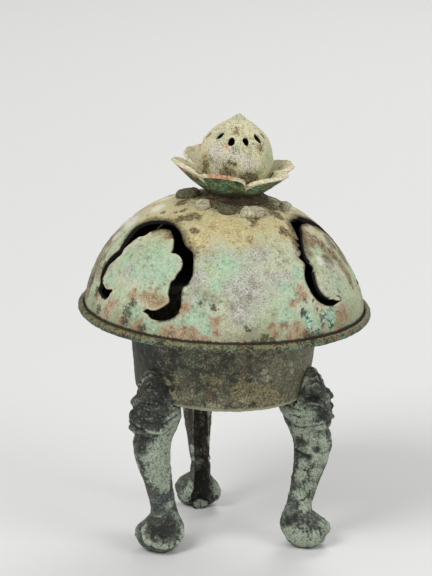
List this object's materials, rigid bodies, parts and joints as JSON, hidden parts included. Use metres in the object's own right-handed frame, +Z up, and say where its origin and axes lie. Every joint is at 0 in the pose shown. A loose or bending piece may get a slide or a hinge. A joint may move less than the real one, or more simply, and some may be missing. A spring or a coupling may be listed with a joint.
{
  "type": "tripod incense burner",
  "caption": "Domed tripod incense burner in patinated bronze, with a lift-off pierced cover, lotus bud finial and lion-mask legs.",
  "frame": {"origin": "centre of the rim circle at the height of the soles", "axes": "+Z up through the bowl and cover; -Y towards the viewer of the picture; +X to that viewer's right"},
  "size_m": [0.1468, 0.1468, 0.2187],
  "materials": {
    "bowl_bronze": "dark olive brown patina, satin",
    "leg_bronze": "blue-black bronze under pale green crust",
    "rivet_bronze": "dark brown, dull",
    "cover_patina": "matt green and cream patina with rust patches",
    "brown_bronze": "dark brown stained bronze, matt",
    "calyx_green": "matt leaf green patina, cream inside",
    "bud_cream": "matt cream patina with green and tan speckle",
    "pad_grey": "matt pale grey patina"
  },
  "bodies": {
    "stand": {"bowl": "bowl_bronze", "leg_left": "leg_bronze", "leg_left_wall_rivet": "rivet_bronze", "leg_left_floor_rivet": "rivet_bronze", "leg_right": "leg_bronze", "leg_right_wall_rivet": "rivet_bronze", "leg_right_floor_rivet": "rivet_bronze", "leg_rear": "leg_bronze", "leg_rear_wall_rivet": "rivet_bronze", "leg_rear_floor_rivet": "rivet_bronze"},
    "lid": {"cover": "cover_patina", "finial_washer": "brown_bronze", "finial_tube": "brown_bronze", "finial_collar": "brown_bronze", "calyx": "calyx_green", "bud": "bud_cream", "foot_pad_1": "pad_grey", "foot_pad_2": "pad_grey", "foot_pad_3": "pad_grey", "foot_pad_4": "pad_grey", "foot_pad_5": "pad_grey", "foot_pad_6": "pad_grey"}
  },
  "joints": [
    {"name": "cover_lift", "type": "slide", "parent": "stand", "child": "lid", "axis": [0, 0, 1], "range_m": [0, 0.12]}
  ]
}
